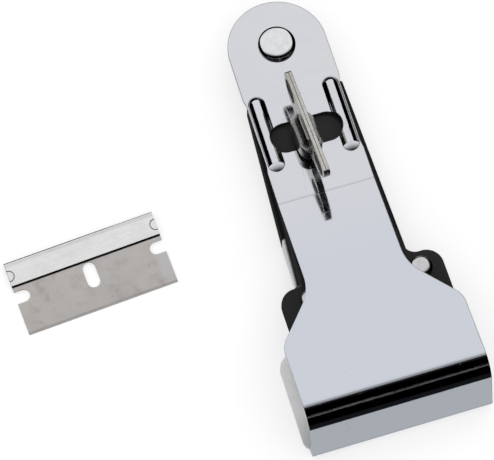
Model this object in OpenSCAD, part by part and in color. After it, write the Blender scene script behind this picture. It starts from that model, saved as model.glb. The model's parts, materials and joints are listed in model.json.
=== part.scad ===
// Razor blade scraper: a bright sheet-steel cover with a guard hood swings on a rivet over a
// black pressed handle channel, a wing screw clamps the two, and a riveted head grips the blade.
// Millimetres, +Z up. The origin is the centre of the hood's flat underside, on the table,
// and the handle runs back along +Y.

/* [Cover sheet] */
// Thickness of the bright cover and its hood
cover_t = 0.9; // [0.7:0.1:1.1]
// Half width of the cover beside the pivot rivet, also the radius of its round end
cover_tail_r = 12.4; // [12.2:0.1:13]
// How far in front of the pivot the centre of the round end lies
cover_tail_s = 0.8; // [0:0.1:1.5]
// Half width of the cover beside the ribs, where they draw the sheet in
cover_waist_hw = 11.9; // [11.8:0.05:12.1]
// Half width of the cover's neck
cover_neck_hw = 12.2; // [11.9:0.1:13]
// Height of the cover's upper face over the table at the handle
cover_z = 8.2; // [8:0.1:9.5]
// Distance from the pivot to the crease where the cover starts to rise
crease_s = 40.6; // [38:0.1:43]
// Angle by which the front of the cover rises
rise_deg = 8.5; // [7:0.5:10]

/* [Hood] */
// Half width of the hood
hood_hw = 22.3; // [21.5:0.1:24]
// Length of the rising plate, from the crease to the front bend
front_len = 51.7; // [50:0.1:56]
// Straight neck in front of the crease, before the cover widens
neck_len = 20.5; // [18:0.5:22]
// Radius where the neck starts to widen
flare_in_r = 11; // [8:0.5:12]
// Radius where the widening ends at the hood's side
flare_out_r = 5.5; // [4:0.5:7]
// Angle of the widening edge to the handle
flare_deg = 40; // [35:1:45]
// Outer radius of the bend at the top of the hood's front
top_bend_r = 5.8; // [4.6:0.1:6.4]
// Outer radius of the bend at the foot of the hood's front
foot_bend_r = 2; // [1.4:0.1:2.6]
// Angle by which the hood's front leans forward at its foot
front_lean_deg = 19; // [13:1:21]
// Half width of the flap under the hood
flap_hw = 23.4; // [22.8:0.1:24]
// Length of the flat flap under the hood
flap_len = 24; // [20:0.5:26]
// Radius of the flap's rear corners
flap_rear_r = 4; // [3:0.5:7]
// Radius of the flap's front corners
flap_front_r = 2.4; // [1:0.1:2.5]

/* [Ribs and slot] */
// Distance of each stiffening rib from the centre line
rib_x = 9.5; // [9.35:0.05:9.6]
// Width of a rib where it meets the plate
rib_w = 4.2; // [3.8:0.1:4.4]
// Height of a rib over the plate
rib_h = 1.3; // [1:0.1:1.5]
// Distance from the pivot to the near end of a rib's straight part
rib_s = 14.1; // [13:0.1:15.5]
// Length of a rib's straight part
rib_len = 16.2; // [15:0.2:18.6]
// Length of the crosswise slot
slot_len = 18.4; // [17:0.2:19]
// Width of the crosswise slot
slot_w = 7.7; // [7.6:0.1:8.2]
// Distance from the pivot to the slot's middle
slot_s = 24.5; // [24.45:0.05:24.8]

/* [Handle channel] */
// Thickness of the black pressed channel
chan_t = 1.2; // [1:0.1:1.4]
// Half width of the channel's round end at the pivot
chan_tail_r = 10; // [9:0.1:10.1]
// Half width of the channel where its flanges start
chan_back_hw = 12.3; // [11.8:0.1:13]
// Half width of the channel at its front
chan_front_hw = 14.4; // [13.8:0.1:14.8]
// Distance from the pivot to the start of the flanges
chan_back_s = 13.1; // [12:0.1:14.5]
// Distance from the pivot to the flanges' foot corner
chan_foot_s = 48.6; // [46:0.1:50]
// Distance from the pivot to the front of the flanges
chan_front_s = 61.5; // [59:0.1:61.8]
// Outer radius of the bend between the channel's top and its flanges
chan_bend_r = 1.9; // [1.6:0.1:2.4]
// How far the channel sits to the right of the rivet
chan_shift = 0.85; // [0:0.05:0.9]
// Angle by which the channel is turned to the left towards its front
chan_turn_deg = 0.8; // [0:0.1:1]
// Clear height between the channel and the cover
cover_gap = 0.3; // [0.2:0.05:0.5]

/* [Blade head] */
// Thickness of the black head plate
head_t = 1.2; // [1:0.1:1.4]
// Half width of the head's ears
head_hw = 20.3; // [19.5:0.1:20.8]
// Half width of the head plate's neck
head_neck_hw = 12.4; // [11.5:0.1:13]
// Distance from the pivot to the rear edge of the ears
head_back_s = 62; // [60.8:0.1:63.5]
// Length of the head plate's neck behind the ears
head_neck_len = 7; // [5:0.5:8]
// Length of the head plate in front of the ears' rear edge
head_len = 20.6; // [19:0.2:22]
// Radius of the ears' rear corners
ear_r = 4.2; // [3:0.1:5]
// Radius in the corner between neck and ear
neck_r = 3; // [2:0.1:3.5]
// Radius of the head's front corners
head_front_r = 1.5; // [1:0.1:2]
// How far the head sits to the right of the handle's centre line
head_shift = 1.2; // [0:0.05:2]
// Angle at which the head is riveted on
head_skew_deg = 0.8; // [0:0.1:3]

/* [Jaw under the head] */
// Thickness of the spring jaw
jaw_t = 1; // [0.8:0.1:1.2]
// Half width of the jaw and of the spacer between jaw and head
jaw_hw = 17.6; // [17:0.1:18.5]
// Length of the jaw
jaw_len = 15.6; // [15:0.2:18]
// Height of the lip that holds the blade's backing
lip_h = 0.4; // [0.3:0.05:0.42]
// Length of that lip
lip_len = 1.2; // [0.8:0.1:1.6]
// Distance of each head rivet from the middle between them
jaw_rivet_x = 13.8; // [13.4:0.1:14]
// How far that middle lies to the right of the head's centre line
jaw_rivet_shift = 0.9; // [0:0.1:1]
// Radius of the head rivets' shanks
jaw_rivet_r = 1.5; // [1.2:0.1:1.8]
// Radius of the head rivets' heads
jaw_rivet_head_r = 2.75; // [2.4:0.05:3]
// Height of the head rivets' heads
jaw_rivet_head_h = 1.1; // [0.8:0.1:1.4]

/* [Blade] */
// Length of the blade's cutting edge
blade_w = 38.1; // [37:0.1:38.4]
// Depth of the blade from backing to edge
blade_d = 19.05; // [18:0.05:19.4]
// Thickness of the blade
blade_t = 0.25; // [0.2:0.01:0.3]
// Length of the ground bevel
bevel_len = 0.6; // [0.4:0.1:1.2]
// Depth of the folded backing
back_d = 6.3; // [5.5:0.1:6.6]
// Thickness of the folded backing
back_t = 1.1; // [0.9:0.05:1.12]
// Width of the blade's end notches
notch_w = 3.1; // [2.8:0.1:3.6]
// Depth of the blade's end notches
notch_d = 3.6; // [3.2:0.1:4.2]
// Distance from the blade's back to the middle of its end notches
notch_s = 9.2; // [9:0.1:9.6]
// Length of the blade's middle slot, from back to edge
blade_slot_len = 6.6; // [5.5:0.1:7]
// Width of the blade's middle slot
blade_slot_w = 3.2; // [2.8:0.1:3.8]
// Distance from the blade's back to the middle of its slot
blade_slot_s = 10; // [9.6:0.1:10.4]

/* [Pivot rivet] */
// Radius of the pivot rivet's shank
pivot_r = 2.5; // [2.2:0.1:2.8]
// Radius of the pivot rivet's head
pivot_head_r = 4.7; // [4.2:0.1:5.2]
// Height of the pivot rivet's head
pivot_head_h = 1.3; // [1.1:0.1:1.8]
// Radius of the rivet's closed end under the channel
pivot_tail_r = 3.9; // [3.4:0.1:4.4]
// Height of the rivet's closed end
pivot_tail_h = 1.4; // [1:0.1:1.8]
// Radial clearance of the cover on the rivet
pivot_play = 0.05; // [0.02:0.01:0.1]
// Radius of the washer between cover and channel
washer_r = 6.5; // [5.5:0.1:8]

/* [Wing screw] */
// Distance from the pivot to the screw
screw_s = 26.6; // [26:0.05:26.65]
// How far the screw sits to the left of the centre line
screw_x = 0.7; // [0:0.1:1]
// Radius of the screw
screw_r = 1.6; // [1.4:0.05:1.65]
// Half length of the wing
wing_hl = 14; // [13.6:0.1:14.5]
// Height of the wing over the cover
wing_h = 12.2; // [11.8:0.1:13.5]
// Thickness of each of the wing's two leaves
leaf_t = 0.8; // [0.75:0.05:0.85]
// Angle of the wing to the handle
wing_turn_deg = 2.5; // [0:0.1:6]
// Half length of the hub
hub_hl = 5.7; // [5.4:0.1:6]
// Half width of the hub
hub_hw = 2.95; // [2.9:0.05:3.4]
// Height of the hub
hub_h = 8.4; // [7.4:0.1:9.2]
// Radius of the round collar on which the hub stands
collar_r = 2.6; // [2.3:0.05:2.7]
// Depth of the pressed ovals in the wing's faces
recess_t = 0.15; // [0.1:0.05:0.4]
// Length of the pressed ovals
recess_len = 6.4; // [6:0.1:6.6]
// Height of the pressed ovals
recess_w = 5.2; // [4:0.1:5.4]
// Gap between the hub and the cover
seat_gap = 0.1; // [0.05:0.05:0.2]
// Width across the flats of the square nut
nut_w = 7; // [6.5:0.1:7.2]
// Height of the square nut
nut_h = 2.9; // [2.4:0.1:3]
// Clearance around the sliding nut
nut_play = 0.3; // [0.1:0.05:0.4]

/* [Spare blade] */
// Distance of the spare blade to the left of the centre line
spare_x = 59.9; // [50:0.1:70]
// Distance from the pivot to the spare blade's middle, along the handle
spare_s = 41.5; // [30:0.1:60]
// Angle at which the spare blade lies
spare_deg = 4; // [0:0.1:10]

/* [Hidden] */
$fn = 48;
// Steps in a drawn arc
arc_steps = 16;
tail_steps = 32;
// How far a cut runs past the face it opens
over = 1;

// Levels over the table
cover_low_z = cover_z - cover_t;
chan_z = cover_low_z - cover_gap;
chan_low_z = chan_z - chan_t;
head_z = chan_z + head_t;
jaw_z = chan_low_z;
jaw_low_z = jaw_z - jaw_t;
blade_mid_z = (chan_z + chan_low_z) / 2;

// A point at an angle on a circle, and an arc of such points
function polar(c, r, a) = [c[0] + r * cos(a), c[1] + r * sin(a)];
function arc(c, r, a0, a1, n = arc_steps) = [for (i = [0 : n]) polar(c, r, a0 + (a1 - a0) * i / n)];
function flip(pts) = [for (i = [len(pts) - 1 : -1 : 0]) [-pts[i][0], pts[i][1]]];

// Hood section, with distance forward of the pivot and height over the table
front_low = [crease_s + front_len * cos(rise_deg), cover_low_z + front_len * sin(rise_deg)];
top_c = polar(front_low, top_bend_r - cover_t, rise_deg - 90);
face_top = polar(top_c, top_bend_r, front_lean_deg);
face_len = (face_top[1] - foot_bend_r - foot_bend_r * sin(front_lean_deg)) / cos(front_lean_deg);
foot_on = polar(face_top, face_len, front_lean_deg - 90);
foot_c = polar(foot_on, foot_bend_r, front_lean_deg + 180);
flap_front_s = foot_c[0];
flap_back_s = flap_front_s - flap_len;

// The hood's flat underside is centred on the origin
pivot_y = (flap_front_s + flap_back_s) / 2;

// Rib: a round bead of this radius whose axis lies below the plate's upper face
rib_r = (pow(rib_w / 2, 2) + pow(rib_h, 2)) / (2 * rib_h);
rib_axis_z = cover_z + rib_h - rib_r;
rib_drop = 0.4;
waist_run = 2;
rib_hollow_r = rib_h + rib_drop;
// Flat middle of the pivot rivet's head, as a share of its radius
pivot_flat_share = 0.66;

// Taper of the channel's flanges
taper_deg = atan((chan_front_hw - chan_back_hw) / (chan_front_s - chan_back_s));
flange_len = (chan_front_s - chan_back_s) / cos(taper_deg);

// The spacer stops the blade's backing, and the lip lies just in front of the backing
taper_step = 2;
tongue_len = 5;
spacer_len = 6.2;
stop_gap = 0.2;
blade_back_s = head_back_s + spacer_len + stop_gap;
back_slot_play = 0.02;
lip_s = blade_back_s + back_d + stop_gap;
jaw_step = 0.4;
jaw_back_s = head_back_s + jaw_step;
jaw_rivet_inset = 4;
jaw_rivet_s = head_back_s + jaw_rivet_inset;
// The tongue that joins the channel's top to the spacer
tongue_hw = chan_front_hw - chan_bend_r - taper_step;

// Wing levels, measured from the cover's upper face
wing_low_z = cover_z + seat_gap;
wing_top_z = cover_z + wing_h;
hub_low_h = rib_h + 2 * seat_gap;
hub_floor_t = 1;
screw_head_h = 2;
screw_head_play = 0.05;
hub_wall = leaf_t;
hub_shoulder_h = 4.6;
hub_ridge_hw = 1;
hub_steps = 6;
lobe_low_h = 4.2;
lobe_flat = 0.3;
lobe_r = wing_hl - hub_hl - 2 * leaf_t - lobe_flat;
lobe_top_r = 0.8;
recess_inset = 4.1;
recess_drop = 3.2;
recess_y = wing_hl - recess_inset;
recess_z = wing_h - seat_gap - recess_drop;
screw_end_z = 1.2;
nut_tab_t = 1;
nut_tab_h = 3.6;

module at_pivot() { translate([0, pivot_y, 0]) children(); }
module ahead(s, x = 0, z = 0) { at_pivot() translate([x, -s, z]) children(); }
// The channel's own frame, a little to the right of the rivet and turned about it
module in_channel() { at_pivot() translate([chan_shift, 0, 0]) rotate([0, 0, -chan_turn_deg]) children(); }
// The head's own frame: its centre line is turned about the middle of the head
module in_head() {
    head_mid_s = head_back_s + head_len / 2;
    ahead(head_mid_s, head_shift) rotate([0, 0, head_skew_deg]) translate([0, head_mid_s, 0]) children();
}
// A plate from an outline drawn as [x, distance forward]
module plate(pts, z, t) { translate([0, 0, z]) linear_extrude(t) polygon([for (p = pts) [p[0], -p[1]]]); }
// A section drawn as [distance forward, height], pulled along X
module across(pts, hw) {
    translate([-hw, 0, 0]) rotate([90, 0, 90]) linear_extrude(2 * hw) polygon([for (p = pts) [-p[0], p[1]]]);
}
// A long hole, or a plug, with round ends along X
module oblong(len, w, h) {
    for (m = [-1, 1]) translate([m * (len - w) / 2, 0, 0]) cylinder(d = w, h = h);
    translate([-(len - w) / 2, -w / 2, 0]) cube([len - w, w, h]);
}

// Half outline of the rising plate, from the crease forward
function flare_edge() = let (
        in_c = [cover_neck_hw + flare_in_r, neck_len],
        in_end = polar(in_c, flare_in_r, 180 - flare_deg),
        out_x = hood_hw - flare_out_r * (1 - cos(flare_deg)),
        out_s = in_end[1] + (out_x - in_end[0]) / tan(flare_deg) + flare_out_r * sin(flare_deg),
        out_c = [hood_hw - flare_out_r, out_s])
    concat([[cover_neck_hw, 0]], arc(in_c, flare_in_r, 180, 180 - flare_deg),
        arc(out_c, flare_out_r, -flare_deg, 0), [[hood_hw, front_len]]);

// Outline of the bent strip seen from above, right half, from the round end forward
function strip_edge() = concat(arc([0, cover_tail_s], cover_tail_r, -90, 0, tail_steps),
    [[cover_tail_r, rib_s - waist_run], [cover_waist_hw, rib_s], [cover_waist_hw, rib_s + rib_len],
        [cover_neck_hw, rib_s + rib_len + waist_run]],
    [for (p = flare_edge()) [p[0], crease_s + p[1] * cos(rise_deg)]],
    [[hood_hw, flap_front_s + cover_tail_r]]);

module strip() {
    back = -cover_tail_r - over;
    skin = concat([[back, cover_low_z], [back, cover_z], [crease_s - cover_t * tan(rise_deg / 2), cover_z]],
        arc(top_c, top_bend_r, rise_deg + 90, front_lean_deg), arc(foot_c, foot_bend_r, front_lean_deg, -90),
        [[foot_c[0] - over, 0]]);
    lining = concat([[foot_c[0] - over, cover_t]], arc(foot_c, foot_bend_r - cover_t, -90, front_lean_deg),
        arc(top_c, top_bend_r - cover_t, front_lean_deg, rise_deg + 90), [[crease_s, cover_low_z]]);
    edge = strip_edge();
    intersection() {
        across(concat(skin, lining), flap_hw);
        plate(concat(edge, flip(edge)), -over, cover_z * 3);
    }
}

module flap() {
    edge = concat(arc([flap_hw - flap_front_r, flap_front_s - flap_front_r], flap_front_r, 90, 0),
        arc([flap_hw - flap_rear_r, flap_back_s + flap_rear_r], flap_rear_r, 0, -90));
    plate(concat(edge, flip(edge)), 0, cover_t);
}

module bead(r) {
    translate([0, -rib_s, 0]) rotate([90, 0, 0]) cylinder(r = r, h = rib_len);
    for (s = [rib_s, rib_s + rib_len]) translate([0, -s, 0]) sphere(r = r);
}

module ribs() {
    for (m = [-1, 1]) translate([m * rib_x, 0, rib_axis_z]) bead(rib_r);
}

module rib_hollows() {
    for (m = [-1, 1]) translate([m * rib_x, 0, cover_low_z - rib_drop]) bead(rib_hollow_r);
}

module cover_plate() {
    color("#d3d6db") at_pivot() difference() {
        union() {
            strip();
            flap();
            intersection() {
                ribs();
                translate([-hood_hw, -crease_s, cover_low_z + cover_t / 2])
                    cube([2 * hood_hw, crease_s, rib_r * 2]);
            }
        }
        rib_hollows();
        translate([0, 0, cover_low_z - over]) cylinder(r = pivot_r + pivot_play, h = cover_t + 2 * over);
        translate([0, -slot_s, cover_low_z - over]) oblong(slot_len, slot_w, cover_t + rib_h + 2 * over);
    }
}

// The channel's right half: half of its top, the bend and the flange, trimmed by the outline from above
module channel_half() {
    bend_c = [chan_back_hw - chan_bend_r, chan_z - chan_bend_r];
    section = concat([[-chan_back_hw, chan_z]], arc(bend_c, chan_bend_r, 90, 0),
        [[chan_back_hw, 0], [chan_back_hw - chan_t, 0]], arc(bend_c, chan_bend_r - chan_t, 0, 90),
        [[-chan_back_hw, chan_low_z]]);
    edge = concat(arc([0, 0], chan_tail_r, -90, 0, tail_steps), [[chan_tail_r, chan_back_s],
        [2 * chan_back_hw, chan_back_s], [2 * chan_back_hw, chan_front_s], [0, chan_front_s]]);
    run = chan_tail_r + chan_back_s;
    intersection() {
        translate([chan_back_hw, -chan_back_s, 0]) rotate([0, 0, taper_deg])
            translate([-chan_back_hw, run, 0]) rotate([90, 0, 0]) linear_extrude(run + flange_len + chan_back_hw)
                polygon(section);
        plate(edge, -over, chan_z + 2 * over);
    }
}

// The sloping end cut of both flanges
module flange_end_cut() {
    slope = (chan_low_z - chan_bend_r / 2) / (chan_front_s - chan_foot_s);
    front_s = chan_front_s + 2 * over;
    across([[chan_foot_s - over / slope, -over], [front_s, slope * (front_s - chan_foot_s)],
        [front_s, -over]], chan_front_hw + over);
}

module nut_tabs() {
    tab_x = nut_w / 2 + nut_play;
    for (m = [0, 1]) translate([-screw_x, -screw_s, 0]) mirror([m, 0, 0])
        translate([tab_x, -nut_w / 2, chan_low_z - nut_tab_h])
            cube([nut_tab_t, nut_w, nut_tab_h + chan_t / 2]);
}

module handle_channel() {
    tongue = [[tongue_hw, chan_front_s - tongue_len], [tongue_hw, head_back_s], [jaw_hw, head_back_s],
        [jaw_hw, head_back_s + spacer_len]];
    color("#1c1d1f") difference() {
        union() {
            in_channel() for (m = [0, 1]) mirror([m, 0, 0]) channel_half();
            at_pivot() nut_tabs();
            difference() {
                in_head() plate(concat(tongue, flip(tongue)), chan_low_z, chan_t);
                in_channel() translate([-hood_hw, -chan_front_s, 0])
                    cube([2 * hood_hw, 2 * tongue_len, chan_z + over]);
            }
        }
        in_channel() flange_end_cut();
        ahead(0, 0, chan_low_z - over) cylinder(r = pivot_r, h = chan_t + 2 * over);
        ahead(screw_s, -screw_x, chan_low_z - over) cylinder(r = screw_r + nut_play, h = chan_t + 2 * over);
        in_head() head_rivet_holes(chan_low_z, chan_t);
    }
}

// A rivet head with a soft flat top, standing on z = 0
module button(r, h, flat_share = 0.5) {
    rim_share = 0.22;
    arc_x = r * (1 - flat_share);
    arc_z = h * (1 - rim_share);
    rotate_extrude($fn = 64) polygon(concat([[0, 0], [r, 0]],
        [for (i = [0 : arc_steps]) let (a = 90 * i / arc_steps)
            [r - arc_x * (1 - cos(a)), h * rim_share + arc_z * sin(a)]],
        [[0, h]]));
}

module pivot_rivet() {
    color("#c9ccd1") ahead(0) {
        translate([0, 0, cover_z + pivot_play]) button(pivot_head_r, pivot_head_h, pivot_flat_share);
        translate([0, 0, chan_low_z - pivot_tail_h / 2])
            cylinder(r = pivot_r, h = cover_z + pivot_play - chan_low_z + pivot_tail_h);
        translate([0, 0, chan_low_z]) mirror([0, 0, 1]) button(pivot_tail_r, pivot_tail_h);
    }
}

module pivot_washer() {
    color("#b9a36a") ahead(0, 0, chan_z) difference() {
        cylinder(r = washer_r, h = cover_gap);
        translate([0, 0, -over]) cylinder(r = pivot_r, h = cover_gap + 2 * over);
    }
}

module head_rivet_holes(z, t) {
    for (m = [-1, 1]) translate([jaw_rivet_shift + m * jaw_rivet_x, -jaw_rivet_s, z - over])
        cylinder(r = jaw_rivet_r, h = t + 2 * over);
}

module blade_head() {
    front_s = head_back_s + head_len;
    edge = concat([[head_neck_hw, head_back_s - head_neck_len]],
        arc([head_neck_hw + neck_r, head_back_s - neck_r], neck_r, 180, 90),
        arc([head_hw - ear_r, head_back_s + ear_r], ear_r, -90, 0),
        arc([head_hw - head_front_r, front_s - head_front_r], head_front_r, 0, 90));
    color("#232426") in_head() difference() {
        plate(concat(edge, flip(edge)), chan_z, head_t);
        head_rivet_holes(chan_z, head_t);
    }
}

module jaw_plate() {
    jaw_end_s = jaw_back_s + jaw_len;
    color("#2b2c2f") in_head() difference() {
        union() {
            plate([[-jaw_hw, jaw_back_s], [jaw_hw, jaw_back_s], [jaw_hw, jaw_end_s], [-jaw_hw, jaw_end_s]],
                jaw_low_z, jaw_t);
            plate([[-jaw_hw, lip_s], [jaw_hw, lip_s], [jaw_hw, lip_s + lip_len], [-jaw_hw, lip_s + lip_len]],
                jaw_low_z, jaw_t + lip_h);
        }
        head_rivet_holes(jaw_low_z, jaw_t);
    }
}

module jaw_rivet(m) {
    shank_z = jaw_low_z - jaw_rivet_head_h / 2;
    color("#aeb1b5") in_head() translate([jaw_rivet_shift + m * jaw_rivet_x, -jaw_rivet_s, 0]) {
        translate([0, 0, head_z]) button(jaw_rivet_head_r, jaw_rivet_head_h);
        translate([0, 0, shank_z]) cylinder(r = jaw_rivet_r, h = head_z + jaw_rivet_head_h / 2 - shank_z);
        translate([0, 0, jaw_low_z]) mirror([0, 0, 1]) button(jaw_rivet_head_r, jaw_rivet_head_h);
    }
}

// A blade lying with its back edge on y = 0, its cutting edge towards -Y and its middle plane at z = 0
module blade() {
    half_t = blade_t / 2;
    edge_t_share = 0.12;
    difference() {
        across([[stop_gap, half_t], [blade_d - bevel_len, half_t], [blade_d, half_t * edge_t_share],
            [blade_d, -half_t * edge_t_share], [blade_d - bevel_len, -half_t],
            [stop_gap, -half_t]], blade_w / 2);
        for (m = [-1, 1]) translate([m * blade_w / 2, -notch_s, -over])
            oblong(2 * notch_d, notch_w, 2 * over);
        translate([0, -blade_slot_s, -over]) rotate([0, 0, 90])
            oblong(blade_slot_len, blade_slot_w, 2 * over);
    }
}

// The folded backing of a blade, in the same frame
module backing() {
    half_t = back_t / 2;
    slit = blade_t / 2 + back_slot_play;
    lip_r = (half_t - slit) / 2;
    mid = (half_t + slit) / 2;
    color("#c4c6c8") across(concat(arc([half_t, 0], half_t, 270, 90),
        arc([back_d - lip_r, mid], lip_r, 90, -90),
        [[stop_gap - back_slot_play, slit], [stop_gap - back_slot_play, -slit]],
        arc([back_d - lip_r, -mid], lip_r, 90, -90)), blade_w / 2);
}

module in_jaw() { in_head() translate([0, -blade_back_s, blade_mid_z]) children(); }

// The spare lies on the front corner of its backing and on its cutting edge
module on_table() {
    lie_deg = asin(back_t / 2 / (blade_d - back_d));
    ahead(spare_s, -spare_x) rotate([0, 0, spare_deg]) translate([0, blade_d / 2 - back_d, 0])
        rotate([lie_deg, 0, 0]) translate([0, back_d, back_t / 2]) children();
}

module fitted_blade() { color("#9a9894") in_jaw() blade(); }
module fitted_blade_backing() { color("#c4c6c8") in_jaw() backing(); }
module spare_blade() { color("#9a9894") on_table() blade(); }
module spare_blade_backing() { color("#c4c6c8") on_table() backing(); }

module at_screw() { ahead(screw_s, -screw_x) rotate([0, 0, wing_turn_deg]) children(); }

// The wing's side outline, as [distance along the wing, height over the hub's foot]
function wing_half() = let (top = wing_top_z - wing_low_z, foot = hub_hl - leaf_t)
    concat([[foot, hub_low_h], [hub_hl + leaf_t / 2, lobe_low_h - leaf_t],
        [hub_hl + 2 * leaf_t, lobe_low_h]],
        arc([wing_hl - lobe_r, lobe_low_h + lobe_r], lobe_r, -90, 0),
        arc([wing_hl - lobe_top_r, top - lobe_top_r], lobe_top_r, 0, 90));

// The hub's outside, or its hollow: upright walls up to the shoulder, drawn in above to a narrow ridge
module hub_form(hl, hw, ridge_hw, shoulder, h) {
    profile = concat([[0, 0], [hw, 0]], [for (i = [0 : hub_steps]) let (k = i / hub_steps)
        [hw - (hw - ridge_hw) * pow(k, 2), shoulder + (h - shoulder) * k]], [[0, h]]);
    for (m = [-1, 1]) translate([0, m * (hl - hw), 0]) rotate_extrude() polygon(profile);
    for (m = [0, 1]) mirror([m, 0, 0]) translate([0, hl - hw, 0]) rotate([90, 0, 0])
        linear_extrude(2 * (hl - hw)) polygon(profile);
}

// The leaf on the wing's +X side; the other one is its mirror image
module leaf() {
    inner_hw = hub_hw - hub_wall;
    inner_hl = hub_hl - hub_wall;
    floor_z = hub_low_h + hub_floor_t;
    half = wing_half();
    difference() {
        union() {
            intersection() {
                translate([0, 0, hub_low_h])
                    hub_form(hub_hl, hub_hw, hub_ridge_hw, hub_shoulder_h - hub_low_h, hub_h - hub_low_h);
                translate([0, -hub_hl, 0]) cube([hub_hw, 2 * hub_hl, hub_h]);
            }
            rotate([90, 0, 90]) linear_extrude(leaf_t) polygon(concat(half, flip(half)));
            intersection() {
                cylinder(r = collar_r, h = floor_z);
                translate([0, -hub_hl, 0]) cube([hub_hw, 2 * hub_hl, hub_h]);
            }
        }
        translate([0, 0, floor_z])
            hub_form(inner_hl, inner_hw, screw_r / 2, hub_shoulder_h - floor_z, hub_h - 2 * hub_wall - floor_z);
        translate([0, 0, -over]) cylinder(r = screw_r, h = floor_z + 2 * over);
        for (m = [-1, 1]) translate([leaf_t - recess_t, m * recess_y, recess_z]) rotate([90, 0, 90])
            oblong(recess_len, recess_w, over);
    }
}

module wing_leaf(side) {
    color("#a9a79f") at_screw() translate([0, 0, wing_low_z]) mirror([side, 0, 0]) leaf();
}

module wing_screw() {
    head_hw = hub_hw - hub_wall - screw_head_play;
    head_hl = hub_hl - hub_hw;
    head_low_z = wing_low_z + hub_low_h + hub_floor_t;
    color("#b4b2ab") at_screw() {
        translate([0, 0, screw_end_z]) cylinder(r = screw_r, h = head_low_z - screw_end_z);
        translate([-head_hw, -head_hl, head_low_z]) cube([2 * head_hw, 2 * head_hl, screw_head_h]);
    }
}

module square_nut() {
    color("#b0aea6") ahead(screw_s, -screw_x, chan_low_z - nut_h - screw_head_play) difference() {
        translate([-nut_w / 2, -nut_w / 2, 0]) cube([nut_w, nut_w, nut_h]);
        translate([0, 0, -over]) cylinder(r = screw_r + screw_head_play, h = nut_h + 2 * over);
    }
}

cover_plate();
handle_channel();
pivot_rivet();
pivot_washer();
blade_head();
jaw_plate();
jaw_rivet(-1);  // jaw_rivet_left
jaw_rivet(1);  // jaw_rivet_right
wing_leaf(1);  // wing_leaf_left
wing_leaf(0);  // wing_leaf_right
wing_screw();
square_nut();
fitted_blade();
fitted_blade_backing();
spare_blade();
spare_blade_backing();
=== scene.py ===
import json
import math
import bpy
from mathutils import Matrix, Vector

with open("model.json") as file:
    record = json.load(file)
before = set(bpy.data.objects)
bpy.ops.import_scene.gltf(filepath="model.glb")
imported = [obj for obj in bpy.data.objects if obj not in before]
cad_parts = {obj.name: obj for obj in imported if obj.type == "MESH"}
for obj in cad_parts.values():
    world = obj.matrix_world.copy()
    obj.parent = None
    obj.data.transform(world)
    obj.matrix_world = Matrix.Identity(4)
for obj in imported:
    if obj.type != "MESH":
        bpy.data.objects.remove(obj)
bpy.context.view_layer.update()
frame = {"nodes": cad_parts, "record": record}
nodes = frame["nodes"]

# Sizes that the finishes and the camera follow, in millimetres. A name that ends in _S is a distance
# forward of the pivot rivet.
MM = 0.001
UP = (0, 0, 1)
JOINTS = {j["name"]: j for j in frame["record"]["behaviour"]["joints"]}
PIVOT_Y = JOINTS["cover_swing"]["pos_m"][1] / MM
SCREW_X, SCREW_Y = (v / MM for v in JOINTS["wing_turn"]["pos_m"][:2])
CREASE_S = 40.6
COVER_LOW_Z, COVER_Z = 7.3, 8.2
BLUER_FROM_S, BLUER_TO_S = 30, 62
RIB_END_S, RIB_END_HALF = 32.2, 1.2
TAIL_FROM_S, TAIL_TO_S = 16, 10
DARK_EDGE_X = 10.6
FLAP_TOP_Z, FACE_LOW_Z = 2.0, 3.0
FLAP_SHADE_FROM_Y, FLAP_SHADE_TO_Y = -2, -11
HIGHLIGHT_STREAK_S, HIGHLIGHT_STREAK_HALF = 55.2, 6.2
WING_TURN = 2.5
RECESS_X, RECESS_FROM_Y = 0.72, 6.0
WING_DARK_FROM_Y, WING_DARK_TO_Y = 4, 12
SPARE_AT = (-59.9, PIVOT_Y - 41.5, 0)
SPARE_DEG = 4.0
LOOSE_X = -30
BLADE_HALF_W, BLADE_HALF_D, BACK_D = 19.05, 9.525, 6.3
BEVEL_Y, RIM_Y = -8.9, -9.1
PALE_X, PALE_Y = 15.4, 1.5
CRIMP_R, CRIMP_Y, CRIMP_INSET = 1.35, 5.9, 0.15
FOLD_INSET = 0.75


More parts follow.
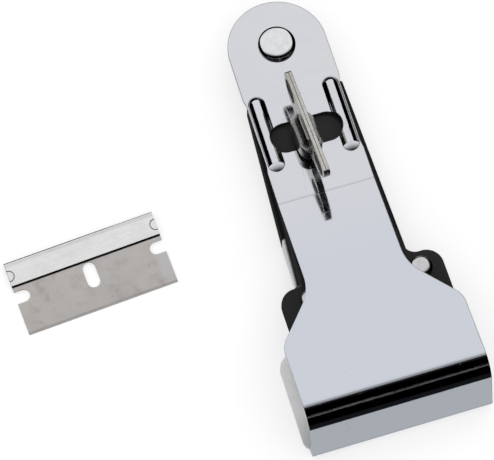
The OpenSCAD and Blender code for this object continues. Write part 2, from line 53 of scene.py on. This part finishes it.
class Graph:
    """A small helper that writes a shader graph line by line."""

    def __init__(self, name):
        self.mat = bpy.data.materials.new(name)
        self.mat.use_nodes = True
        self.tree = self.mat.node_tree
        self.tree.nodes.clear()

    def node(self, kind):
        return self.tree.nodes.new("ShaderNode" + kind)

    def feed(self, socket, value):
        if isinstance(value, bpy.types.NodeSocket):
            self.tree.links.new(value, socket)
        else:
            socket.default_value = value

    def math(self, op, a, b=0.0):
        n = self.node("Math")
        n.operation = op
        self.feed(n.inputs[0], a)
        self.feed(n.inputs[1], b)
        return n.outputs[0]

    def vec(self, op, a, b=(0, 0, 0)):
        n = self.node("VectorMath")
        n.operation = op
        self.feed(n.inputs[0], a)
        self.feed(n.inputs[1], b)
        return n.outputs["Value"] if op in ("DOT_PRODUCT", "DISTANCE") else n.outputs[0]

    def parts(self, co):
        n = self.node("SeparateXYZ")
        self.feed(n.inputs[0], co)
        return n.outputs[0], n.outputs[1], n.outputs[2]

    def place(self):
        """Place on the piece at rest, in millimetres of the row frame."""
        return self.vec("MULTIPLY", self.node("TexCoord").outputs["Object"], (1000, 1000, 1000))

    def local(self, co, at, angle):
        """Place in a frame that stands at a point and is turned about Z."""
        n = self.node("Mapping")
        self.feed(n.inputs["Vector"], self.vec("SUBTRACT", co, at))
        n.inputs["Rotation"].default_value = (0, 0, math.radians(-angle))
        return n.outputs[0]

    def facing(self, direction):
        """How squarely the true surface faces a direction of the piece at rest."""
        n = self.node("VectorTransform")
        n.vector_type, n.convert_from, n.convert_to = "NORMAL", "WORLD", "OBJECT"
        self.feed(n.inputs[0], self.node("NewGeometry").outputs["True Normal"])
        return self.vec("DOT_PRODUCT", n.outputs[0], direction)

    def noise(self, co, scale=1.0, detail=3.0, rough=0.5, distort=0.0):
        n = self.node("TexNoise")
        self.feed(n.inputs["Vector"], co)
        n.inputs["Scale"].default_value = scale
        n.inputs["Detail"].default_value = detail
        n.inputs["Roughness"].default_value = rough
        n.inputs["Distortion"].default_value = distort
        return n.outputs["Fac"]

    def ramp(self, value, lo, hi, out_lo=0.0, out_hi=1.0):
        n = self.node("MapRange")
        n.interpolation_type = "SMOOTHSTEP"
        self.feed(n.inputs["Value"], value)
        for key, v in (("From Min", lo), ("From Max", hi), ("To Min", out_lo), ("To Max", out_hi)):
            self.feed(n.inputs[key], v)
        return n.outputs["Result"]

    def near(self, value, middle, half, soft):
        """1 where value is within half of middle, fading over soft."""
        away = self.math("ABSOLUTE", self.math("SUBTRACT", value, middle))
        return self.ramp(away, half + soft, half)

    def both(self, *masks):
        out = masks[0]
        for m in masks[1:]:
            out = self.math("MULTIPLY", out, m)
        return out

    def most(self, *masks):
        out = masks[0]
        for m in masks[1:]:
            out = self.math("MAXIMUM", out, m)
        return out

    def total(self, *values):
        out = values[0]
        for v in values[1:]:
            out = self.math("ADD", out, v)
        return out

    def without(self, mask):
        return self.math("SUBTRACT", 1.0, mask)

    def mix(self, fac, a, b):
        n = self.node("Mix")
        n.data_type = "RGBA"
        self.feed(n.inputs["Factor"], fac)
        for key, v in (("A", a), ("B", b)):
            self.feed([s for s in n.inputs if s.name == key and s.type == "RGBA"][0], v)
        return [s for s in n.outputs if s.type == "RGBA"][0]

    def bevel(self, radius):
        n = self.node("Bevel")
        n.samples = 6
        n.inputs["Radius"].default_value = radius * MM
        return n.outputs[0]

    def edge(self, radius, lo=0.55, hi=0.98):
        """1 near a sharp edge, 0 on a flat face."""
        normal = self.node("NewGeometry").outputs["Normal"]
        return self.ramp(self.vec("DOT_PRODUCT", self.bevel(radius), normal), hi, lo)

    def bump(self, height, depth, normal=None, strength=1.0):
        """height is 0 to 1 and stands for depth millimetres."""
        n = self.node("Bump")
        n.inputs["Strength"].default_value = strength
        n.inputs["Distance"].default_value = depth * MM
        self.feed(n.inputs["Height"], height)
        if normal is not None:
            self.feed(n.inputs["Normal"], normal)
        return n.outputs[0]

    def levelled(self, normal, fac, pull=3.0):
        """The shading normal, turned towards straight up where fac is 1."""
        n = self.node("CombineXYZ")
        self.feed(n.inputs[2], self.both(fac, pull))
        return self.vec("NORMALIZE", self.vec("ADD", normal, n.outputs[0]))

    def scratches(self, co, angle, along=0.06, across=5.0, low=0.68, high=0.74):
        """Thin lines that run along one direction in the XY plane."""
        turned = self.vec("MULTIPLY", self.local(co, (0, 0, 0), angle), (along, across, along))
        return self.ramp(self.noise(turned, 1.0, 2.0, 0.6, 0.4), low, high)

    def surface(self, **values):
        p = self.node("BsdfPrincipled")
        for key, value in values.items():
            self.feed(p.inputs[key.replace("_", " ")], value)
        self.tree.links.new(p.outputs[0], self.node("OutputMaterial").inputs["Surface"])
        return self.mat


def rgb(r, g, b):
    return (r, g, b, 1.0)


def bright_cover():
    """Bright plated sheet: faint scuffs, a crease with a painted shade line, a painted dark reflection along
    the tail and right edges, a lighter, bluer front wall of the hood as painted reflection, a painted shade
    on the flap's front part and a duller inside of the flap.
    """
    g = Graph("bright_cover_look")
    co = g.place()
    x, y, z = g.parts(co)
    up = g.facing(UP)
    patches = g.ramp(g.noise(co, 0.09, 3.0, 0.6), 0.47, 0.62)
    lines = g.most(g.scratches(co, 12), g.scratches(co, -38, 0.09, 4.0, 0.7, 0.76),
                   g.scratches(co, 84, 0.07, 6.0, 0.7, 0.76))
    specks = g.both(g.ramp(g.noise(co, 2.2, 2.0, 0.6), 0.66, 0.73),
                    g.ramp(g.noise(co, 0.12, 2.0), 0.5, 0.6))
    marks = g.most(g.both(lines, patches), specks)
    smears = g.noise(g.vec("MULTIPLY", co, (1.0, 2.4, 1.0)), 0.11, 3.0, 0.55)
    haze = g.both(g.ramp(smears, 0.5, 0.68), up)
    crease = g.both(g.near(y, PIVOT_Y - CREASE_S, 0.04, 0.34), g.ramp(z, COVER_LOW_Z, COVER_LOW_Z + 0.5))
    inside = g.both(g.ramp(up, 0.4, 0.6), g.ramp(z, FACE_LOW_Z, FLAP_TOP_Z))
    col = g.mix(g.ramp(g.noise(co, 0.035, 2.0), 0.3, 0.7), rgb(0.64, 0.652, 0.69), rgb(0.66, 0.665, 0.69))
    col = g.mix(g.ramp(y, PIVOT_Y - BLUER_FROM_S, PIVOT_Y - BLUER_TO_S), col, rgb(0.597, 0.624, 0.685))
    col = g.mix(g.both(haze, 0.3), col, rgb(0.60, 0.62, 0.68))
    # Painted reflection: the hood's forward-facing wall gets a lighter, bluer colour than the rest of the
    # sheet.
    face = g.both(g.ramp(g.facing((0, -1, 0)), 0.5, 0.9), g.ramp(z, FLAP_TOP_Z + 0.4, FACE_LOW_Z))
    col = g.mix(face, col, rgb(0.65, 0.69, 0.735))
    col = g.mix(g.both(marks, 0.2), col, rgb(0.40, 0.40, 0.42))
    # Painted shade: the crease is darkened in colour as well as pressed in by the bump.
    col = g.mix(g.both(crease, 0.26), col, rgb(0.2, 0.2, 0.21))
    col = g.mix(inside, col, g.mix(g.ramp(g.noise(co, 0.35, 4.0, 0.65), 0.35, 0.7),
                                   rgb(0.99, 0.99, 0.985), rgb(0.93, 0.935, 0.94)))
    # Painted dark reflection: a thin near black line along the sheet's edge at the tail and down its right
    # side.
    dark_edge_reflection = g.both(g.edge(0.45, 0.8, 0.995), g.ramp(z, COVER_LOW_Z - 0.1, COVER_LOW_Z + 0.1),
                     g.most(g.ramp(y, PIVOT_Y - TAIL_FROM_S, PIVOT_Y - TAIL_TO_S),
                            g.ramp(x, DARK_EDGE_X, DARK_EDGE_X + 0.4)))
    col = g.mix(g.both(dark_edge_reflection, 0.8), col, rgb(0.05, 0.05, 0.05))
    flap_shade = g.both(inside, g.ramp(y, FLAP_SHADE_FROM_Y, FLAP_SHADE_TO_Y), 0.5)
    col = g.mix(flap_shade, col, rgb(0.35, 0.35, 0.36))
    rough = g.total(g.ramp(g.noise(co, 0.4, 3.0), 0.2, 0.8, 0.05, 0.09), g.both(marks, 0.2),
                    g.both(g.edge(0.3), 0.1), g.both(inside, 0.5))
    wave = g.bump(g.noise(co, 0.05, 1.0), 0.22, g.bevel(0.2), 0.3)
    normal = g.bump(g.math("SUBTRACT", marks, g.both(crease, 2.0)), 0.02, wave, 0.3)
    rib_ends = g.both(g.near(y, PIVOT_Y - RIB_END_S, RIB_END_HALF, 0.6),
                      g.ramp(z, COVER_Z + 0.05, COVER_Z + 0.15))
    return g.surface(Base_Color=col, Metallic=g.without(inside), Roughness=rough,
                     Normal=g.levelled(normal, rib_ends))


def bright_metal(name, base, rough, angle, grain=0.5, bevel=0.15, shade=0.0):
    """Grained metal with faint marks; shade darkens the sides that face right and forward, as painted shade.
    """
    g = Graph(name)
    co = g.place()
    along = g.vec("MULTIPLY", g.local(co, (0, 0, 0), angle), (0.25, 7.0, 0.25))
    lines = g.noise(along, 1.0, 3.0, 0.6)
    blotch = g.ramp(g.noise(co, 0.7, 3.0, 0.6), 0.3, 0.75, 0.0, 0.5)
    marks = g.both(g.scratches(co, angle + 33, 0.2, 6.0), 0.6)
    col = g.mix(blotch, rgb(*base), rgb(*[c * 0.78 for c in base]))
    # Painted shade: sides that face right and forward are darkened by the shade amount.
    shaded_side = g.ramp(g.facing((0.7, -0.7, 0)), 0.15, 0.5)
    col = g.mix(g.both(shaded_side, shade), col, rgb(0.03, 0.03, 0.03))
    r = g.total(rough, g.both(g.ramp(lines, 0.3, 0.7, -0.5, 0.5), 0.1 * grain), g.both(marks, 0.15))
    normal = g.bump(lines, 0.012 * grain, g.bevel(bevel), 0.5)
    return g.surface(Base_Color=col, Metallic=1.0, Roughness=r, Normal=normal)


def wing_metal():
    """Grey plated sheet with a fine crosswise grain; the pressed ovals are painted near black and the far end
    darker, as painted shade.
    """
    g = Graph("wing_steel_look")
    co = g.place()
    at = g.local(co, (SCREW_X, SCREW_Y, 0), WING_TURN)
    x, y, _ = g.parts(at)
    turn = math.radians(WING_TURN)
    side = g.math("ABSOLUTE", g.facing((math.cos(turn), math.sin(turn), 0)))
    grain = g.noise(g.vec("MULTIPLY", at, (1.2, 5.0, 1.2)), 1.0, 4.0, 0.7)
    blotch = g.noise(co, 0.9, 3.0, 0.6)
    # Painted shade: the pressed ovals on the leaves' sides are painted near black and made dull and
    # non-metal.
    shaded_recess = g.both(g.ramp(side, 0.8, 0.95), g.near(x, 0, RECESS_X, 0.02),
                  g.ramp(g.math("ABSOLUTE", y), RECESS_FROM_Y, RECESS_FROM_Y + 0.2))
    seam = g.both(g.near(x, 0, 0.03, 0.06), g.ramp(g.facing(UP), 0.5, 0.8))
    col = g.mix(g.ramp(blotch, 0.3, 0.7), rgb(0.60, 0.59, 0.555), rgb(0.50, 0.49, 0.46))
    col = g.mix(g.ramp(grain, 0.45, 0.75, 0.0, 0.5), col, rgb(0.36, 0.35, 0.33))
    # Painted shade: the wing darkens towards its far end.
    shaded_far_end = g.ramp(y, WING_DARK_FROM_Y, WING_DARK_TO_Y)
    col = g.mix(g.both(shaded_far_end, 0.3), col, rgb(0.30, 0.29, 0.27))
    col = g.mix(g.both(seam, 0.75), col, rgb(0.08, 0.08, 0.08))
    col = g.mix(g.both(shaded_recess, 0.93), col, rgb(0.02, 0.02, 0.02))
    r = g.most(g.ramp(grain, 0.3, 0.7, 0.2, 0.34), shaded_recess)
    normal = g.bump(grain, 0.02, g.bevel(0.22), 0.5)
    return g.surface(Base_Color=col, Metallic=g.without(shaded_recess), Roughness=r, Normal=normal)


def spare_place(g):
    """Place on the piece, place in the loose blade's frame, and a mask: 1 on the loose blade, else 0."""
    co = g.place()
    return co, g.local(co, SPARE_AT, SPARE_DEG), g.ramp(g.parts(co)[0], LOOSE_X, LOOSE_X - 5)


def blade_metal():
    """Ground blade steel: fine lines along the edge, stains, a bevel, a painted shade line where the backing
    ends.
    """
    g = Graph("blade_steel_look")
    co, at, loose = spare_place(g)
    x, y, _ = g.parts(at)
    lines = g.noise(g.vec("MULTIPLY", at, (0.16, 9.0, 0.3)), 1.0, 3.0, 0.6)
    blotch = g.noise(co, 0.16, 3.0, 0.6)
    spots = g.ramp(g.noise(co, 1.6, 2.0, 0.5), 0.70, 0.76)
    stain = g.both(g.ramp(g.noise(co, 0.3, 3.0, 0.65), 0.48, 0.68),
                   g.ramp(g.noise(co, 0.09, 2.0), 0.4, 0.55))
    bevel = g.both(loose, g.ramp(y, BEVEL_Y, BEVEL_Y - 0.3))
    rim = g.both(loose, g.ramp(y, RIM_Y, RIM_Y - 0.3))
    pale_end = g.both(loose, g.ramp(x, PALE_X, PALE_X + 1.2), g.ramp(y, PALE_Y, PALE_Y - 1))
    # Painted shade: a near black line on the blade where the backing ends.
    shade = g.both(loose, g.near(y, BLADE_HALF_D - BACK_D, 0.2, 0.25))
    col = g.mix(g.ramp(blotch, 0.35, 0.7), rgb(0.635, 0.605, 0.58), rgb(0.59, 0.56, 0.55))
    col = g.mix(g.ramp(lines, 0.35, 0.75, 0.0, 0.2), col, rgb(0.52, 0.50, 0.485))
    col = g.mix(g.both(spots, 0.35), col, rgb(0.22, 0.21, 0.20))
    col = g.mix(g.both(stain, 0.6), col, rgb(0.48, 0.43, 0.40))
    col = g.mix(g.both(pale_end, 0.5, g.ramp(blotch, 0.3, 0.6)), col, rgb(0.70, 0.70, 0.72))
    col = g.mix(g.both(bevel, 0.2), col, rgb(0.31, 0.295, 0.29))
    col = g.mix(g.both(rim, 0.7), col, rgb(0.60, 0.59, 0.58))
    col = g.mix(shade, col, rgb(0.02, 0.02, 0.02))
    r = g.ramp(lines, 0.3, 0.7, 0.3, 0.38)
    normal = g.levelled(g.bump(lines, 0.006, g.bevel(0.05), 0.5), g.both(bevel, 0.8))
    return g.surface(Base_Color=col, Metallic=1.0, Roughness=r, Normal=normal)


def backing_metal():
    """Bright folded backing: a fold line and half-round crimps at both ends, both painted darker as shade,
    and a front rim painted near black as shade.
    """
    g = Graph("backing_steel_look")
    co, at, loose = spare_place(g)
    lines = g.noise(g.vec("MULTIPLY", at, (0.12, 5.0, 0.3)), 1.0, 3.0, 0.6)
    blotch = g.noise(co, 0.14, 4.0, 0.6)
    flat = g.vec("MULTIPLY", at, (1, 1, 0))
    # Painted shade: the half-round crimps are painted dark as well as pressed in by the bump.
    crimps = []
    for end in (-1, 1):
        away = g.vec("DISTANCE", flat, (end * (BLADE_HALF_W - CRIMP_INSET), CRIMP_Y, 0))
        crimps.append(g.near(away, CRIMP_R, 0.06, 0.13))
    crimp = g.both(loose, g.most(*crimps), g.ramp(g.facing(UP), 0.8, 0.95))
    # Painted shade: a darker band along the fold.
    fold = g.both(loose, g.near(g.parts(at)[1], BLADE_HALF_D - FOLD_INSET, 0.25, 0.5))
    turn = math.radians(SPARE_DEG)
    forward = (math.sin(turn), -math.cos(turn), 0)
    # Painted shade: the backing's forward-facing front rim is painted near black.
    shaded_lip = g.both(loose, g.ramp(g.facing(forward), 0.15, 0.4))
    col = g.mix(g.ramp(blotch, 0.4, 0.7), rgb(0.87, 0.87, 0.865), rgb(0.82, 0.822, 0.83))
    col = g.mix(g.ramp(lines, 0.4, 0.8, 0.0, 0.12), col, rgb(0.60, 0.60, 0.60))
    col = g.mix(g.both(fold, 0.35), col, rgb(0.50, 0.50, 0.49))
    col = g.mix(g.both(crimp, 0.85), col, rgb(0.12, 0.12, 0.12))
    col = g.mix(shaded_lip, col, rgb(0.015, 0.015, 0.015))
    r = g.ramp(lines, 0.3, 0.7, 0.24, 0.28)
    wave = g.bump(blotch, 0.3, g.bevel(0.1), 0.3)
    normal = g.bump(g.math("SUBTRACT", g.both(lines, 0.3), g.both(crimp, 4.0)), 0.012, wave, 0.5)
    return g.surface(Base_Color=col, Metallic=1.0, Roughness=r, Normal=normal)


def black_paint(name, base, top, rough):
    """Black paint, paler on top as painted light and matt on its sides, with a pale mirror stripe painted on
    the left flange's front end as a highlight.
    """
    g = Graph(name)
    co = g.place()
    y = g.parts(co)[1]
    peel = g.noise(co, 2.4, 2.0)
    dust = g.ramp(g.noise(co, 6.0, 2.0, 0.7), 0.66, 0.74)
    wear = g.both(g.edge(0.18), g.ramp(g.noise(co, 1.6, 3.0, 0.7), 0.5, 0.6))
    marks = g.both(g.scratches(co, 20, 0.1, 5.0), g.ramp(g.noise(co, 0.2), 0.5, 0.6))
    # Painted light: faces pointing up get the paler top colour, the sides the darker base colour.
    lit_top = g.ramp(g.facing(UP), 0.7, 0.95)
    col = g.mix(lit_top, rgb(base, base, base), rgb(top, top, top * 1.04))
    col = g.mix(g.both(dust, 0.2), col, rgb(0.05, 0.05, 0.05))
    col = g.mix(g.both(wear, 0.5), col, rgb(0.22, 0.22, 0.22))
    side = g.ramp(g.math("ABSOLUTE", g.facing((1, 0, 0))), 0.5, 0.9)
    # Painted highlight: a pale mirror stripe on the outer face of the left flange's front end.
    highlight_streak = g.both(g.ramp(g.facing((-1, 0, 0)), 0.6, 0.9),
                    g.near(y, PIVOT_Y - HIGHLIGHT_STREAK_S, HIGHLIGHT_STREAK_HALF, 0.3))
    col = g.mix(highlight_streak, col, rgb(0.92, 0.92, 0.92))
    r = g.total(g.ramp(peel, 0.3, 0.7, rough - 0.05, rough + 0.06), g.both(marks, 0.2),
                g.both(side, g.without(highlight_streak), 0.6))
    normal = g.bump(peel, 0.02, g.bevel(0.2), 0.3)
    return g.surface(Base_Color=col, Metallic=g.most(g.both(wear, 0.5), highlight_streak), Roughness=r,
                     Specular_IOR_Level=0.14, Normal=normal)


LOOKS = {
    "bright_cover": bright_cover(),
    "rivet_steel": bright_metal("rivet_steel_look", (0.74, 0.75, 0.765), 0.1, 40, 0.4, 0.25),
    "head_rivets": bright_metal("head_rivets_look", (0.62, 0.62, 0.63), 0.2, 70, 0.6, shade=0.85),
    "washer_brass": bright_metal("washer_brass_look", (0.62, 0.47, 0.22), 0.3, 10),
    "black_paint": black_paint("black_paint_look", 0.004, 0.022, 0.24),
    "black_head": black_paint("black_head_look", 0.009, 0.017, 0.32),
    "black_jaw": black_paint("black_jaw_look", 0.012, 0.014, 0.42),
    "wing_steel": wing_metal(),
    "screw_steel": bright_metal("screw_steel_look", (0.5, 0.49, 0.46), 0.3, 0),
    "nut_steel": bright_metal("nut_steel_look", (0.5, 0.5, 0.48), 0.32, 0),
    "blade_steel": blade_metal(),
    "backing_steel": backing_metal(),
}
SLOT_OF = {s["node"]: s["material_slot"] for s in frame["record"]["subparts"]}
for name, obj in nodes.items():
    obj.data.materials.clear()
    obj.data.materials.append(LOOKS[SLOT_OF[name]])


CORNERS = ((-1, -1), (1, -1), (1, 1), (-1, 1))


def stage_mesh(name, verts, faces):
    mesh = bpy.data.meshes.new(name)
    mesh.from_pydata([Vector(v) * MM for v in verts], [], faces)
    obj = bpy.data.objects.new(name, mesh)
    bpy.context.scene.collection.objects.link(obj)
    return obj


FLOOR_HALF = 3000
FLOOR_Z = -0.05
# The zone round the object where mirrors see the floor bright
BRIGHT_HALF_X, BRIGHT_MID_Y, BRIGHT_HALF_Y = 50, 42, 72.5


def floor():
    """White paper. Mirrors see it bright close to the object and dark further off, as under a small tent."""
    obj = stage_mesh("floor", [(a * FLOOR_HALF, b * FLOOR_HALF, FLOOR_Z) for a, b in CORNERS], [(0, 1, 2, 3)])
    g = Graph("floor_look")
    path = g.node("LightPath")
    co = g.place()
    x, y, _ = g.parts(co)
    patchy = g.ramp(g.noise(co, 0.02, 2.0), 0.3, 0.7)
    tint = g.mix(patchy, rgb(0.50, 0.50, 0.50), rgb(0.52, 0.52, 0.52))
    diffuse = g.node("BsdfDiffuse")
    full = g.mix(path.outputs["Is Camera Ray"], rgb(0.86, 0.86, 0.86), tint)
    g.feed(diffuse.inputs["Color"], full)
    lift = g.node("Emission")
    lift.inputs["Color"].default_value = rgb(1, 1, 1)
    g.feed(lift.inputs["Strength"], g.both(path.outputs["Is Camera Ray"], 0.58))
    seen = g.node("AddShader")
    g.feed(seen.inputs[0], diffuse.outputs[0])
    g.feed(seen.inputs[1], lift.outputs[0])
    mirrored = g.node("Emission")
    close = g.both(g.near(x, 0, BRIGHT_HALF_X, 4), g.near(y, BRIGHT_MID_Y, BRIGHT_HALF_Y, 1))
    g.feed(mirrored.inputs["Color"], g.mix(close, rgb(0.01, 0.01, 0.012), rgb(0.58, 0.585, 0.60)))
    mix = g.node("MixShader")
    g.feed(mix.inputs[0], path.outputs["Is Glossy Ray"])
    g.feed(mix.inputs[1], seen.outputs[0])
    g.feed(mix.inputs[2], mirrored.outputs[0])
    g.tree.links.new(mix.outputs[0], g.node("OutputMaterial").inputs["Surface"])
    obj.data.materials.append(g.mat)


AIM = Vector((0, 44, 5))


def card(name, elevation, azimuth, distance, size, level, diffuse=True, fade_from=None):
    """A glowing card that faces the object; azimuth 0 stands behind it, at +Y, and 180 in front.
    Past fade_from, in millimetres above its middle, it fades out towards its upper edge."""
    el, az = math.radians(elevation), math.radians(azimuth)
    away = Vector((math.sin(az) * math.cos(el), math.cos(az) * math.cos(el), math.sin(el)))
    x = away.cross(Vector((0, 0, 1))).normalized()
    y = x.cross(away)
    centre = AIM + away * distance
    hx, hy = size[0] / 2, size[1] / 2
    verts = [centre + x * a * hx + y * b * hy for a, b in CORNERS]
    obj = stage_mesh(name, verts, [(0, 1, 2, 3)])
    g = Graph(name + "_look")
    light = g.node("Emission")
    light.inputs["Color"].default_value = rgb(1, 1, 1)
    if fade_from is None:
        light.inputs["Strength"].default_value = level
    else:
        up = g.vec("DOT_PRODUCT", g.vec("SUBTRACT", g.place(), centre), y)
        g.feed(light.inputs["Strength"], g.both(g.ramp(up, size[1] / 2, fade_from), level))
    g.tree.links.new(light.outputs[0], g.node("OutputMaterial").inputs["Surface"])
    obj.data.materials.append(g.mat)
    obj.visible_camera = False
    obj.visible_diffuse = diffuse
    obj.visible_shadow = False


def studio():
    card("softbox", elevation=61, azimuth=0, distance=900, size=(1450, 1300), level=1.0, fade_from=160)
    card("strip_in_front", elevation=42, azimuth=180, distance=900, size=(3000, 90), level=0.3, diffuse=False)
    world = bpy.data.worlds.new("studio")
    bpy.context.scene.world = world
    world.use_nodes = True
    world.node_tree.nodes["Background"].inputs["Color"].default_value = rgb(1, 1, 1)
    world.node_tree.nodes["Background"].inputs["Strength"].default_value = 1.0
    world.cycles_visibility.glossy = False


# The camera was fitted on the loose blade's corners, in millimetres. Only its clip range is in metres.
CAM_AZ, CAM_EL, CAM_DIST = math.radians(-16.94), math.radians(69.84), 600.0
CAM_TARGET = Vector((-20.4, PIVOT_Y - 41.76, 0.0))
CAM_LENS, SENSOR_W = 179.2, 36.0


def photo_camera():
    along = math.cos(CAM_EL)
    ahead = Vector((-math.sin(CAM_AZ) * along, math.cos(CAM_AZ) * along, -math.sin(CAM_EL)))
    lens = bpy.data.cameras.new("camera")
    lens.sensor_width = SENSOR_W
    lens.lens = CAM_LENS
    lens.clip_start, lens.clip_end = 0.01, 20.0
    camera = bpy.data.objects.new("camera", lens)
    bpy.context.scene.collection.objects.link(camera)
    camera.rotation_mode = "QUATERNION"
    camera.location = (CAM_TARGET - ahead * CAM_DIST) * MM
    camera.rotation_quaternion = ahead.to_track_quat("-Z", "Y")
    bpy.context.scene.camera = camera


floor()
studio()
photo_camera()
bpy.context.scene.view_settings.view_transform = "Standard"
